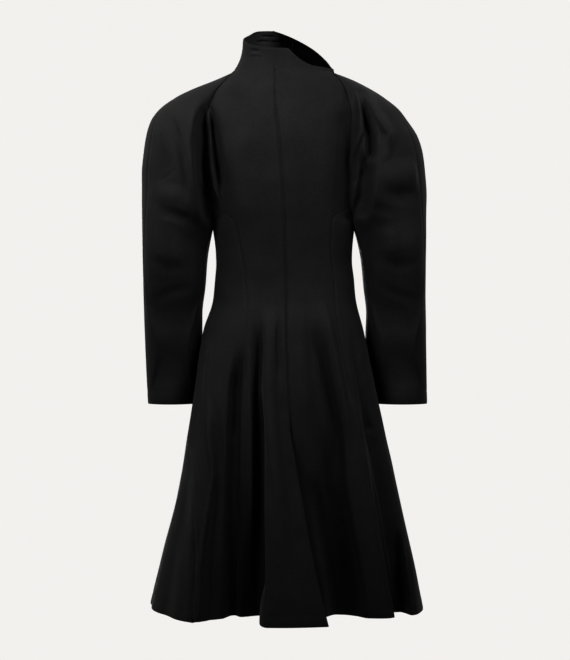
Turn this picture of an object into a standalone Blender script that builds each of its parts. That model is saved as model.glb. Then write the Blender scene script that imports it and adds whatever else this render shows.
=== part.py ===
# Knee-length flared wool coat, filled out as it hangs when worn: fitted waist, rounded raglan
# sleeves, a back vent and a funnel collar that stands on the left and falls away on the right.
# X runs to the wearer's right, Y to the front and Z up, in metres.
# The origin lies between the shoulders, at the level where the neck seam meets them.

from collections import namedtuple
from math import asin, cos, hypot, pi, radians, sin

import bmesh
import bpy
from mathutils import Vector

# Cloth and seams
CLOTH = 0.0022
SEAM_GAP = 0.0003
ARMHOLE_GAP = 0.0006
SCOOP_GAP = 0.0012
LAYER_GAP = 0.0012

# Heights of the seams and edges
NECK_Z = 0.0125
PRINCESS_TOP_Z = -0.2355
UNDERARM_Z = -0.2742
BODICE_Z = -0.300
WAIST_Z = -0.335
VENT_TOP_Z = -0.598
VENT_OPEN_Z = -0.640
HEM_Z = -0.968

# Front closing: the right front laps over the left one
FRONT_EDGE_ANGLE = 192.0
LAP_START_ANGLE = 150.0
LAP_FULL_ANGLE = 166.0

# How folds deepen from their start to the hem, and how the collar curves up from the neck
FOLD_GROWTH = 1.25
COLLAR_CURVE = 2.5

# Angles run round the body from the back centre, positive to the wearer's right, in degrees
SIDE_ANGLE = 90.0
FRONT_ANGLE = 180.0

# Faces across each piece
BACK_COLUMNS = 13
SIDE_COLUMNS = 10
FRONT_COLUMNS = 17
SLEEVE_COLUMNS = 8
COLLAR_COLUMNS = 18
COLLAR_ROWS = 4
VENT_ROWS = 8
HIP_ROWS = 8
SCOOP_ROWS = 3

NORMAL_STEP_ANGLE = 0.25
NORMAL_STEP_Z = 0.002
NORMAL_STEP_ROW = 0.05
NORMAL_STEP_SHARE = 0.01

WOOL_COLOUR = (0.011, 0.011, 0.012, 1.0)
WOOL_ROUGHNESS = 0.92

# Rings of the body: middle, half width, and depth behind and before the side seams
Section = namedtuple("Section", "z centre_x half_width back front")
BODY = (
    Section(0.0125, -0.002, 0.0940, 0.060, 0.075),
    Section(-0.0074, -0.003, 0.1180, 0.070, 0.083),
    Section(-0.0313, -0.007, 0.1360, 0.084, 0.094),
    Section(-0.0828, -0.011, 0.1530, 0.104, 0.110),
    Section(-0.1380, -0.011, 0.1550, 0.113, 0.121),
    Section(-0.1840, -0.009, 0.1510, 0.112, 0.127),
    Section(-0.2355, -0.006, 0.1430, 0.105, 0.125),
    Section(-0.2742, -0.001, 0.1300, 0.098, 0.118),
    Section(-0.3350, 0.000, 0.1250, 0.090, 0.104),
    Section(-0.3680, 0.001, 0.1280, 0.089, 0.099),
    Section(-0.4050, 0.001, 0.1316, 0.094, 0.101),
    Section(-0.4600, -0.001, 0.1470, 0.113, 0.113),
    Section(-0.5980, 0.003, 0.1720, 0.143, 0.137),
    Section(-0.7730, 0.007, 0.2060, 0.174, 0.172),
    Section(-0.8650, 0.005, 0.2270, 0.190, 0.190),
    Section(-0.9680, 0.004, 0.2500, 0.205, 0.205),
)

# Where the long back seams run round the body, in degrees
BackSeam = namedtuple("BackSeam", "z centre princess_left princess_right")
BACK_SEAMS = (
    BackSeam(0.0125, -8.7, -59.0, 59.0),
    BackSeam(-0.0313, -3.5, -59.0, 59.0),
    BackSeam(-0.1380, 1.7, -59.0, 59.0),
    BackSeam(-0.2355, 2.6, -59.0, 59.0),
    BackSeam(-0.2570, 2.2, -43.0, 42.0),
    BackSeam(-0.3000, 1.4, -40.0, 42.5),
    BackSeam(-0.3600, 1.6, -34.7, 44.8),
    BackSeam(-0.4600, 2.3, -28.8, 43.3),
    BackSeam(-0.6400, 2.3, -31.5, 47.5),
    BackSeam(-0.9680, 2.3, -30.0, 48.5),
)
# Below the vent top the left back swings over the right one
FLAP_HEM_ANGLE = 14.5
UNDERLAP_HEM_ANGLE = 5.0

# Folds of the skirt: angle where the fold starts, angle and depth (out is positive) at the hem
Fold = namedtuple("Fold", "top_angle hem_angle out start_z")
LEFT_FOLDS = (
    Fold(-200.0, -200.0, 0.012, -0.45),
    Fold(-165.0, -165.0, 0.012, -0.45),
    Fold(-152.0, -152.0, -0.020, -0.50),
    Fold(-138.0, -139.0, 0.026, -0.46),
    Fold(-121.0, -121.0, -0.036, -0.50),
    Fold(-105.0, -105.0, 0.010, -0.52),
    Fold(-90.0, -90.0, -0.002, -0.55),
    Fold(-72.0, -62.0, 0.000, -0.52),
    Fold(-56.0, -36.0, 0.028, -0.44),
    Fold(-30.0, -30.0, -0.060, -0.42),
    Fold(-18.0, -18.5, -0.090, -0.42),
    Fold(-10.0, -6.0, 0.041, -0.37),
    Fold(2.3, 14.5, 0.037, -0.598),
)
RIGHT_FOLDS = (
    Fold(2.3, 5.0, -0.075, -0.598),
    Fold(25.0, 27.0, -0.068, -0.42),
    Fold(44.0, 48.5, 0.002, -0.46),
    Fold(56.0, 61.0, -0.044, -0.52),
    Fold(73.0, 76.0, 0.004, -0.52),
    Fold(90.0, 92.0, 0.000, -0.55),
    Fold(107.0, 107.0, 0.012, -0.52),
    Fold(124.0, 124.0, -0.035, -0.50),
    Fold(143.0, 143.0, 0.024, -0.46),
    Fold(155.0, 155.0, -0.016, -0.50),
    Fold(165.0, 165.0, 0.012, -0.45),
    Fold(200.0, 200.0, 0.012, -0.45),
)

# Sleeve head: seam height and angle on the body, top line of each sleeve, fullness behind and
# before that line, and how far behind it the overarm seam lies (share of the half sleeve)
Head = namedtuple("Head", "seam_z angle left_x right_x over_z puff_back puff_front seam_share")
SLEEVE_HEAD = (
    Head(0.0125, 69.0, -0.0960, 0.0920, 0.0125, 0.005, 0.006, 0.00),
    Head(-0.0074, 65.5, -0.1245, 0.1250, 0.0000, 0.008, 0.008, 0.00),
    Head(-0.0313, 62.8, -0.1700, 0.1605, -0.0184, 0.018, 0.016, 0.06),
    Head(-0.0552, 62.0, -0.2060, 0.1895, -0.0368, 0.032, 0.028, 0.12),
    Head(-0.0828, 59.3, -0.2300, 0.2116, -0.0552, 0.044, 0.038, 0.17),
    Head(-0.1100, 57.5, -0.2447, 0.2270, -0.0755, 0.052, 0.046, 0.20),
    Head(-0.1380, 56.3, -0.2540, 0.2460, -0.1050, 0.057, 0.050, 0.22),
    Head(-0.1610, 56.0, -0.2585, 0.2557, -0.1380, 0.060, 0.052, 0.22),
    Head(-0.1840, 56.5, -0.2613, 0.2602, -0.1750, 0.061, 0.053, 0.21),
    Head(-0.2100, 57.5, -0.2613, 0.2628, -0.2170, 0.062, 0.054, 0.20),
    Head(-0.2355, 59.0, -0.2613, 0.2613, -0.2480, 0.064, 0.057, 0.17),
    Head(-0.2475, 65.2, -0.2613, 0.2613, -0.2580, 0.0685, 0.063, 0.165),
    Head(-0.2580, 71.2, -0.2613, 0.2613, -0.2670, 0.073, 0.069, 0.16),
    Head(-0.2700, 80.8, -0.2610, 0.2613, -0.2790, 0.080, 0.078, 0.15),
    Head(-0.2742, 90.0, -0.2607, 0.2613, -0.2870, 0.0872, 0.0878, 0.14),
)

# Sleeve below the armhole: its outer and inner lines, how far forward it hangs, half its depth
Arm = namedtuple("Arm", "z left_over left_under right_over right_under centre_y depth seam_share")
SLEEVE_ARM = (
    Arm(-0.330, -0.2602, -0.1408, 0.2613, 0.1417, 0.006, 0.084, 0.11),
    Arm(-0.380, -0.2597, -0.1448, 0.2615, 0.1465, 0.012, 0.078, 0.08),
    Arm(-0.430, -0.2588, -0.1512, 0.2625, 0.1520, 0.020, 0.072, 0.05),
    Arm(-0.480, -0.2582, -0.1510, 0.2640, 0.1510, 0.032, 0.065, 0.03),
    Arm(-0.540, -0.2565, -0.1580, 0.2655, 0.1610, 0.041, 0.057, 0.00),
    Arm(-0.597, -0.2537, -0.1640, 0.2672, 0.1700, 0.047, 0.050, 0.00),
)

# Collar: height of its top edge round the neck, and how far that edge leans out from the neck
Rise = namedtuple("Rise", "angle top_z lean")
COLLAR = (
    Rise(-192.0, 0.084, -0.002),
    Rise(-165.0, 0.101, -0.002),
    Rise(-150.0, 0.0995, -0.007),
    Rise(-120.0, 0.086, -0.018),
    Rise(-90.0, 0.0745, -0.0205),
    Rise(-50.0, 0.061, -0.016),
    Rise(-9.0, 0.0515, -0.006),
    Rise(5.0, 0.0505, -0.005),
    Rise(14.0, 0.039, -0.004),
    Rise(21.0, 0.030, -0.003),
    Rise(38.0, 0.020, -0.002),
    Rise(60.0, 0.0185, -0.001),
    Rise(90.0, 0.0190, 0.000),
    Rise(105.0, 0.025, 0.000),
    Rise(120.0, 0.040, 0.000),
    Rise(145.0, 0.068, -0.001),
    Rise(165.0, 0.086, -0.002),
    Rise(180.0, 0.0965, -0.002),
    Rise(192.0, 0.1025, -0.002),
)


def column(table, name):
    return [getattr(row, name) for row in table]


# Smooth curve through the rows of a table, without overshoot between them
def smooth_through(knots, values, at):
    if knots[0] > knots[-1]:
        knots, values = knots[::-1], values[::-1]
    if at <= knots[0]:
        return values[0]
    if at >= knots[-1]:
        return values[-1]
    spans = [b - a for a, b in zip(knots, knots[1:])]
    slopes = [(b - a) / span for a, b, span in zip(values, values[1:], spans)]
    inner = [2 * a * b / (a + b) if a * b > 0 else 0.0 for a, b in zip(slopes, slopes[1:])]
    tangents = [slopes[0]] + inner + [slopes[-1]]
    i = max(k for k in range(len(spans)) if knots[k] <= at)
    s = (at - knots[i]) / spans[i]
    start = values[i] * (1 + 2 * s) * (1 - s) ** 2 + tangents[i] * spans[i] * s * (1 - s) ** 2
    end = values[i + 1] * s * s * (3 - 2 * s) - tangents[i + 1] * spans[i] * s * s * (1 - s)
    return start + end


def from_table(table, key, name, at):
    return smooth_through(column(table, key), column(table, name), at)


def ease(share):
    share = min(max(share, 0.0), 1.0)
    return (1 - cos(pi * share)) / 2


def spaced(start, stop, count):
    return [start + (stop - start) * i / count for i in range(count + 1)]


# Depth of the skirt's folds at one place: each fold swells and falls softly to its neighbours
def fold_depth(folds, angle, z):
    lines = []
    for fold in folds:
        share = min(max((fold.start_z - z) / (fold.start_z - HEM_Z), 0.0), 1.0)
        lines.append((fold.top_angle + (fold.hem_angle - fold.top_angle) * share,
                      fold.out * share ** FOLD_GROWTH))
    if angle <= lines[0][0]:
        return lines[0][1]
    for (angle_a, out_a), (angle_b, out_b) in zip(lines, lines[1:]):
        if angle <= angle_b:
            return out_a + (out_b - out_a) * ease((angle - angle_a) / (angle_b - angle_a))
    return lines[-1][1]


# The left front and its collar run under the right ones
def layer_depth(angle):
    lapped = (-angle - LAP_START_ANGLE) / (LAP_FULL_ANGLE - LAP_START_ANGLE)
    return -(CLOTH + LAYER_GAP) * ease(lapped)


# Outer face of the body; the two halves have their own folds and part at the vent
def body_point(folds, angle, z):
    turn = radians(angle)
    half_width = from_table(BODY, "z", "half_width", z)
    depth = from_table(BODY, "z", "back" if cos(turn) > 0 else "front", z)
    across = half_width * sin(turn)
    along = -depth * cos(turn)
    reach = hypot(across, along)
    stretch = (reach + fold_depth(folds, angle, z) + layer_depth(angle)) / reach
    return Vector((from_table(BODY, "z", "centre_x", z) + across * stretch, along * stretch, z))


def body_normal(folds, angle, z):
    round_body = (body_point(folds, angle + NORMAL_STEP_ANGLE, z)
                  - body_point(folds, angle - NORMAL_STEP_ANGLE, z))
    upward = body_point(folds, angle, z + NORMAL_STEP_Z) - body_point(folds, angle, z - NORMAL_STEP_Z)
    return round_body.cross(upward).normalized()


def armhole_angle(z):
    if z >= PRINCESS_TOP_Z:
        return from_table(SLEEVE_HEAD, "seam_z", "angle", z)
    princess = from_table(SLEEVE_HEAD, "seam_z", "angle", PRINCESS_TOP_Z)
    share = asin(min((PRINCESS_TOP_Z - z) / (PRINCESS_TOP_Z - UNDERARM_Z), 1.0)) / (pi / 2)
    return princess + (SIDE_ANGLE - princess) * share


# Angle and height of the armhole's lower curve, from the princess seam (share 0) to the side seam (1)
def scoop_place(side, share):
    z = PRINCESS_TOP_Z + (UNDERARM_Z - PRINCESS_TOP_Z) * sin(pi / 2 * share)
    return side * armhole_angle(z), z - SCOOP_GAP


def centre_back_angle(z, hem_angle):
    above = from_table(BACK_SEAMS, "z", "centre", z)
    opened = max((VENT_OPEN_Z - z) / (VENT_OPEN_Z - HEM_Z), 0.0)
    return above + (hem_angle - above) * opened


# Degrees that move an edge round the body by a given length
def edge_inset(folds, angle, z, length):
    step = (body_point(folds, angle + NORMAL_STEP_ANGLE, z)
            - body_point(folds, angle - NORMAL_STEP_ANGLE, z))
    return length * 2 * NORMAL_STEP_ANGLE / step.length


# A piece of cloth: a grid laid on its outer face, then extruded inward by the cloth's thickness
def cloth_piece(name, columns, rows, place):
    bm = bmesh.new()
    bmesh.ops.create_grid(bm, x_segments=columns, y_segments=rows, size=0.5)
    inside = bm.verts.layers.float_vector.new("inside")
    for vert in bm.verts:
        point, normal = place(vert.co.x + 0.5, round((vert.co.y + 0.5) * rows))
        vert.co = point
        vert[inside] = point - normal * CLOTH
    sheet = bmesh.ops.extrude_face_region(bm, geom=bm.faces[:])
    for vert in sheet["geom"]:
        if isinstance(vert, bmesh.types.BMVert):
            vert.co = vert[inside]
    bm.verts.layers.float_vector.remove(inside)
    bmesh.ops.recalc_face_normals(bm, faces=bm.faces[:])
    mesh = bpy.data.meshes.new(name)
    bm.to_mesh(mesh)
    bm.free()
    mesh.shade_smooth()
    wool = bpy.data.materials.new(name + "_wool")
    wool.use_nodes = True
    shader = wool.node_tree.nodes["Principled BSDF"]
    shader.inputs["Base Color"].default_value = WOOL_COLOUR
    shader.inputs["Roughness"].default_value = WOOL_ROUGHNESS
    shader.inputs["Metallic"].default_value = 0.0
    mesh.materials.append(wool)
    piece = bpy.data.objects.new(name, mesh)
    coat.objects.link(piece)
    return piece


# A body panel between two seams; each seam is an angle at a height, and so is a curved top edge
def body_panel(name, folds, columns, levels, first_edge, second_edge, top=None):
    def evenly(share, z):
        return first_edge(z) + (second_edge(z) - first_edge(z)) * share

    def place(share, row):
        z = levels[row]
        drawn_aside = 0.0
        if z > BODICE_Z and top:
            top_angle, top_z = top(share)
            rise = (z - BODICE_Z) / (levels[-1] - BODICE_Z)
            z = BODICE_Z + rise * (top_z - BODICE_Z)
            drawn_aside = rise * (top_angle - evenly(share, top_z))
        first, second = first_edge(z), second_edge(z)
        first += edge_inset(folds, first, z, SEAM_GAP / 2)
        second -= edge_inset(folds, second, z, SEAM_GAP / 2)
        angle = first + (second - first) * share + drawn_aside
        return body_point(folds, angle, z), body_normal(folds, angle, z)
    return cloth_piece(name, columns, len(levels) - 1, place)


SKIRT_LEVELS = spaced(HEM_Z, VENT_OPEN_Z, VENT_ROWS) + spaced(VENT_TOP_Z, WAIST_Z, HIP_ROWS) + [BODICE_Z]
HEAD_LEVELS = column(SLEEVE_HEAD, "seam_z")[::-1]
CHEST_LEVELS = [z for z in HEAD_LEVELS if z > PRINCESS_TOP_Z]
BACK_LEVELS = SKIRT_LEVELS + spaced(BODICE_Z, PRINCESS_TOP_Z, SCOOP_ROWS)[1:] + CHEST_LEVELS
SIDE_LEVELS = SKIRT_LEVELS + spaced(BODICE_Z, UNDERARM_Z, SCOOP_ROWS)[1:]
FRONT_LEVELS = SIDE_LEVELS + [z for z in HEAD_LEVELS if z > UNDERARM_Z]


def princess_angle(side, z):
    return from_table(BACK_SEAMS, "z", "princess_left" if side < 0 else "princess_right", z)


# Outer edge of a back: the raglan seam and armhole, then the princess seam
def back_edge(side, z):
    if z > PRINCESS_TOP_Z:
        return side * armhole_angle(z)
    return princess_angle(side, z)


# Outer edge of a front: the raglan seam and armhole, then the side seam
def front_side_edge(side, z):
    if z > UNDERARM_Z:
        return side * (FRONT_ANGLE - armhole_angle(z))
    return side * SIDE_ANGLE


def add_body():
    body_panel("back_left", LEFT_FOLDS, BACK_COLUMNS, BACK_LEVELS,
               lambda z: back_edge(-1, z), lambda z: centre_back_angle(z, FLAP_HEM_ANGLE))
    body_panel("back_right", RIGHT_FOLDS, BACK_COLUMNS, BACK_LEVELS,
               lambda z: centre_back_angle(z, UNDERLAP_HEM_ANGLE), lambda z: back_edge(1, z))
    body_panel("side_back_left", LEFT_FOLDS, SIDE_COLUMNS, SIDE_LEVELS,
               lambda z: -SIDE_ANGLE, lambda z: princess_angle(-1, z),
               lambda share: scoop_place(-1, 1 - share))
    body_panel("side_back_right", RIGHT_FOLDS, SIDE_COLUMNS, SIDE_LEVELS,
               lambda z: princess_angle(1, z), lambda z: SIDE_ANGLE,
               lambda share: scoop_place(1, share))
    body_panel("front_left", LEFT_FOLDS, FRONT_COLUMNS, FRONT_LEVELS,
               lambda z: -FRONT_EDGE_ANGLE, lambda z: front_side_edge(-1, z))
    body_panel("front_right", RIGHT_FOLDS, FRONT_COLUMNS, FRONT_LEVELS,
               lambda z: front_side_edge(1, z), lambda z: FRONT_EDGE_ANGLE)


# Rows of a sleeve run from its top line (share 0) to its seam behind (-1) or before (1)
def sleeve_point(side, row, share):
    rows = list(range(len(SLEEVE_HEAD) + len(SLEEVE_ARM)))
    underarm_row = len(SLEEVE_HEAD) - 1
    folds = LEFT_FOLDS if side < 0 else RIGHT_FOLDS
    word = "left" if side < 0 else "right"
    depth_name = "puff_back" if share < 0 else "puff_front"

    def along(head_values, arm_name):
        values = head_values + column(SLEEVE_ARM, arm_name)
        return smooth_through(rows[-len(values):], values, row)

    forward = along([0.0] * len(SLEEVE_HEAD), "centre_y")
    top_x = along(column(SLEEVE_HEAD, word + "_x"), word + "_over")
    top = Vector((top_x, forward, along(column(SLEEVE_HEAD, "over_z"), "z")))
    puff = along(column(SLEEVE_HEAD, depth_name), "depth")
    if row <= underarm_row:
        seam_z = smooth_through(rows[:len(SLEEVE_HEAD)], column(SLEEVE_HEAD, "seam_z"), row)
        angle = armhole_angle(seam_z)
        seam = body_point(folds, side * (angle if share < 0 else FRONT_ANGLE - angle), seam_z)
    else:
        underarm = body_point(folds, side * SIDE_ANGLE, UNDERARM_Z)
        seam_x = along([underarm.x], word + "_under")
        seam = Vector((seam_x, forward, along([underarm.z], "z")))
    swell = Vector((0, -1 if share < 0 else 1, 0)) * puff * sin(pi * abs(share))
    return top + (seam - top) * ease(abs(share)) + swell


def sleeve_normal(side, row, share):
    low, high = max(share - NORMAL_STEP_SHARE, -1.0), min(share + NORMAL_STEP_SHARE, 1.0)
    last_row = len(SLEEVE_HEAD) + len(SLEEVE_ARM) - 1
    above, below = max(row - NORMAL_STEP_ROW, 0.0), min(row + NORMAL_STEP_ROW, last_row)
    forward = sleeve_point(side, row, high) - sleeve_point(side, row, low)
    downward = sleeve_point(side, below, share) - sleeve_point(side, above, share)
    return forward.cross(downward).normalized() * -side


def overarm_share(row):
    shares = column(SLEEVE_HEAD, "seam_share") + column(SLEEVE_ARM, "seam_share")
    return -shares[row]


# Half a sleeve, behind (facing -1) or before (facing 1) its overarm seam
def sleeve_half(name, side, facing):
    row_count = len(SLEEVE_HEAD) + len(SLEEVE_ARM) - 1

    def share_for(row, start, length):
        step = sleeve_point(side, row, start + facing * NORMAL_STEP_SHARE) - sleeve_point(side, row, start)
        return facing * length * NORMAL_STEP_SHARE / step.length

    def place(part, row):
        joins_body = row < len(SLEEVE_HEAD)
        first = overarm_share(row)
        first += share_for(row, first, SEAM_GAP / 2)
        near_seam = facing * (1.0 - NORMAL_STEP_SHARE)
        last = facing - share_for(row, near_seam, ARMHOLE_GAP if joins_body else SEAM_GAP / 2)
        share = first + (last - first) * part
        return sleeve_point(side, row, share), sleeve_normal(side, row, share)
    return cloth_piece(name, SLEEVE_COLUMNS, row_count, place)


def add_sleeves():
    for word, side in (("left", -1), ("right", 1)):
        sleeve_half("sleeve_" + word + "_back", side, -1)
        sleeve_half("sleeve_" + word + "_front", side, 1)


# The collar stands on the neck seam and follows its own top edge round
def collar_point(folds, angle, share):
    foot = body_point(folds, angle, NECK_Z)
    foot.z = NECK_Z + SEAM_GAP
    top_z = from_table(COLLAR, "angle", "top_z", angle)
    lean = from_table(COLLAR, "angle", "lean", angle)
    centre_x = from_table(BODY, "z", "centre_x", NECK_Z)
    outward = Vector((foot.x - centre_x, foot.y, 0)).normalized()
    curved = 1 - (1 - share) ** COLLAR_CURVE
    return foot + outward * lean * curved + Vector((0, 0, (top_z - foot.z) * share))


def collar_piece(name, folds, first, last):
    def place(part, row):
        share = row / COLLAR_ROWS
        inset = edge_inset(folds, first, NECK_Z, SEAM_GAP / 2)
        angle = first + inset + (last - first - 2 * inset) * part
        step = NORMAL_STEP_SHARE
        round_neck = (collar_point(folds, angle + NORMAL_STEP_ANGLE, share)
                      - collar_point(folds, angle - NORMAL_STEP_ANGLE, share))
        upward = (collar_point(folds, angle, min(share + step, 1.0))
                  - collar_point(folds, angle, max(share - step, 0.0)))
        normal = round_neck.cross(upward)
        normal.z = 0.0  # the wall is measured level, so its foot stays on the neck seam
        return collar_point(folds, angle, share), normal.normalized()
    return cloth_piece(name, COLLAR_COLUMNS, COLLAR_ROWS, place)


def add_collar():
    centre = centre_back_angle(NECK_Z, FLAP_HEM_ANGLE)
    collar_piece("collar_left", LEFT_FOLDS, -FRONT_EDGE_ANGLE, centre)
    collar_piece("collar_right", RIGHT_FOLDS, centre, FRONT_EDGE_ANGLE)


for old in list(bpy.data.objects):
    bpy.data.objects.remove(old, do_unlink=True)
coat = bpy.data.collections.new("flared_wool_coat")
bpy.context.scene.collection.children.link(coat)
add_body()
add_sleeves()
add_collar()
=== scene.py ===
# Black wool coat, seen from behind: cut panels with their listed creases, in soft studio light
import math

import bmesh
import bpy
import numpy as np
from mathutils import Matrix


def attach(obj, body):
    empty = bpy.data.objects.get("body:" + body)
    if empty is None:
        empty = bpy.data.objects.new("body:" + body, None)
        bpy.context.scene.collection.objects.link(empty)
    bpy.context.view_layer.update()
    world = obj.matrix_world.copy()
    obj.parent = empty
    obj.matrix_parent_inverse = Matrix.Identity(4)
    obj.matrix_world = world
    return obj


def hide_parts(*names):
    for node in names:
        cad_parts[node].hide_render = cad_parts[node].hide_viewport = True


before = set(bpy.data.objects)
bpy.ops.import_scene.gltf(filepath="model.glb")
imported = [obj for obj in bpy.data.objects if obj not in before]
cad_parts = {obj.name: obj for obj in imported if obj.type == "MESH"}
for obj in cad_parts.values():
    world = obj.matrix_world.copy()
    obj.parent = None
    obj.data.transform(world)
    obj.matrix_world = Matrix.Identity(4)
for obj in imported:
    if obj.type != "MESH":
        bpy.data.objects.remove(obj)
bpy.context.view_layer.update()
print("frame loaded:", len(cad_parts), "pieces")

# how the photograph looks at the coat: pixels of its frame, metres, and millimetres of sensor
photoView = {"width": 570, "height": 660, "metresPerPixel": 0.00184, "distance": 3.3,
             "eyeX": 0.00184, "eyeZ": -0.46, "sensorHeight": 36.0}
pixelsPerTangent = photoView["distance"] / photoView["metresPerPixel"]

cloth = {"thickness": 0.0022, "layerGap": 0.0012, "seamLap": 0.06}  # seam lap in degrees round the body
frontLap = {"startAngle": 150, "easing": 16, "edgeAngle": 192.0}  # degrees: the right front over the left
heights = {"neck": 0.0125, "princessTop": -0.2355, "underarm": -0.2742, "bodice": -0.300,
           "ventOpen": -0.640, "hem": -0.968}

# rings of the body: height, middle, half width, depth behind and before the side seams
bodyRings = np.array([
    (0.0125, -0.002, 0.0940, 0.060, 0.075),
    (-0.0074, -0.003, 0.1180, 0.070, 0.083),
    (-0.0313, -0.007, 0.1360, 0.084, 0.094),
    (-0.0828, -0.011, 0.1530, 0.104, 0.110),
    (-0.1380, -0.011, 0.1550, 0.113, 0.121),
    (-0.1840, -0.009, 0.1510, 0.112, 0.127),
    (-0.2355, -0.006, 0.1430, 0.105, 0.125),
    (-0.2742, -0.001, 0.1300, 0.098, 0.118),
    (-0.3350, 0.000, 0.1250, 0.090, 0.104),
    (-0.3680, 0.001, 0.1280, 0.089, 0.099),
    (-0.4050, 0.001, 0.1316, 0.094, 0.101),
    (-0.4600, -0.001, 0.1470, 0.113, 0.113),
    (-0.5980, 0.003, 0.1720, 0.143, 0.137),
    (-0.7730, 0.007, 0.2060, 0.174, 0.172),
    (-0.8650, 0.005, 0.2270, 0.190, 0.190),
    (-0.9680, 0.004, 0.2500, 0.205, 0.205),
]).T

# long back seams: height, then degrees round the body for the centre and the two princess seams
backSeams = np.array([
    (0.0125, -8.7, -59.0, 59.0),
    (-0.0313, -3.5, -59.0, 59.0),
    (-0.1380, 1.7, -59.0, 59.0),
    (-0.2355, 2.6, -59.0, 59.0),
    (-0.2570, 2.2, -43.0, 42.0),
    (-0.3000, 1.4, -40.0, 42.5),
    (-0.3600, 1.6, -34.7, 44.8),
    (-0.4600, 2.3, -28.8, 43.3),
    (-0.6400, 2.3, -31.5, 47.5),
    (-0.9680, 2.3, -30.0, 48.5),
]).T
ventHemAngle = {"left": 14.5, "right": 5.0}  # the left back swings over the right one

# skirt folds of each half: degrees at the start and at the hem, depth at the hem, height of the start
skirtFolds = {
    "left": np.array([
        (-200.0, -200.0, 0.012, -0.45), (-165.0, -165.0, 0.012, -0.45),
        (-152.0, -152.0, -0.020, -0.50), (-138.0, -139.0, 0.026, -0.46),
        (-121.0, -121.0, -0.036, -0.50), (-105.0, -105.0, 0.010, -0.52),
        (-90.0, -90.0, -0.002, -0.55), (-72.0, -62.0, 0.000, -0.52),
        (-56.0, -36.0, 0.028, -0.44), (-30.0, -30.0, -0.060, -0.42),
        (-18.0, -18.5, -0.090, -0.42), (-10.0, -6.0, 0.041, -0.37),
        (2.3, 14.5, 0.037, -0.598)]),
    "right": np.array([
        (2.3, 5.0, -0.075, -0.598), (25.0, 27.0, -0.068, -0.42),
        (44.0, 48.5, 0.002, -0.46), (56.0, 61.0, -0.044, -0.52),
        (73.0, 76.0, 0.004, -0.52), (90.0, 92.0, 0.000, -0.55),
        (107.0, 107.0, 0.012, -0.52), (124.0, 124.0, -0.035, -0.50),
        (143.0, 143.0, 0.024, -0.46), (155.0, 155.0, -0.016, -0.50),
        (165.0, 165.0, 0.012, -0.45), (200.0, 200.0, 0.012, -0.45)]),
}
foldGrowth = 1.25

# sleeve head: seam height and degrees on the body, top line left and right, its height,
# fullness behind and before it, and how far behind it the overarm seam lies
sleeveHead = np.array([
    (0.0125, 69.0, -0.0960, 0.0920, 0.0125, 0.005, 0.006, 0.00),
    (-0.0074, 65.5, -0.1245, 0.1250, 0.0000, 0.008, 0.008, 0.00),
    (-0.0313, 62.8, -0.1700, 0.1605, -0.0184, 0.018, 0.016, 0.06),
    (-0.0552, 62.0, -0.2060, 0.1895, -0.0368, 0.032, 0.028, 0.12),
    (-0.0828, 59.3, -0.2300, 0.2116, -0.0552, 0.044, 0.038, 0.17),
    (-0.1100, 57.5, -0.2447, 0.2270, -0.0755, 0.052, 0.046, 0.20),
    (-0.1380, 56.3, -0.2540, 0.2460, -0.1050, 0.057, 0.050, 0.22),
    (-0.1610, 56.0, -0.2585, 0.2557, -0.1380, 0.060, 0.052, 0.22),
    (-0.1840, 56.5, -0.2613, 0.2602, -0.1750, 0.061, 0.053, 0.21),
    (-0.2100, 57.5, -0.2613, 0.2628, -0.2170, 0.062, 0.054, 0.20),
    (-0.2355, 59.0, -0.2613, 0.2613, -0.2480, 0.064, 0.057, 0.17),
    (-0.2475, 65.2, -0.2613, 0.2613, -0.2580, 0.0685, 0.063, 0.165),
    (-0.2580, 71.2, -0.2613, 0.2613, -0.2670, 0.073, 0.069, 0.16),
    (-0.2700, 80.8, -0.2610, 0.2613, -0.2790, 0.080, 0.078, 0.15),
    (-0.2742, 90.0, -0.2607, 0.2613, -0.2870, 0.0872, 0.0878, 0.14),
]).T
# sleeve below the armhole: height, outer and inner line left, then right, middle, half depth, seam
sleeveArm = np.array([
    (-0.330, -0.2602, -0.1408, 0.2613, 0.1417, 0.006, 0.084, 0.11),
    (-0.380, -0.2597, -0.1448, 0.2615, 0.1465, 0.012, 0.078, 0.08),
    (-0.430, -0.2588, -0.1512, 0.2625, 0.1520, 0.020, 0.072, 0.05),
    (-0.480, -0.2582, -0.1510, 0.2640, 0.1510, 0.032, 0.065, 0.03),
    (-0.540, -0.2565, -0.1580, 0.2655, 0.1610, 0.041, 0.057, 0.00),
    (-0.597, -0.2537, -0.1640, 0.2672, 0.1700, 0.047, 0.050, 0.00),
]).T

# collar: degrees round the neck, height of the top edge and how far that edge leans out
collarEdge = np.array([
    (-192, 0.084, -0.002), (-165, 0.101, -0.002), (-150, 0.0995, -0.007), (-120, 0.086, -0.018),
    (-90, 0.0745, -0.0205), (-50, 0.061, -0.016), (-9, 0.0515, -0.006), (5, 0.0505, -0.005),
    (14, 0.039, -0.004), (21, 0.030, -0.003), (38, 0.020, -0.002), (60, 0.0185, -0.001),
    (90, 0.0190, 0.000), (105, 0.025, 0.000), (120, 0.040, 0.000), (145, 0.068, -0.001),
    (165, 0.086, -0.002), (180, 0.0965, -0.002), (192, 0.1025, -0.002),
]).T


def ease(share):
    return (1 - np.cos(np.pi * np.clip(share, 0, 1))) / 2


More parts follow.
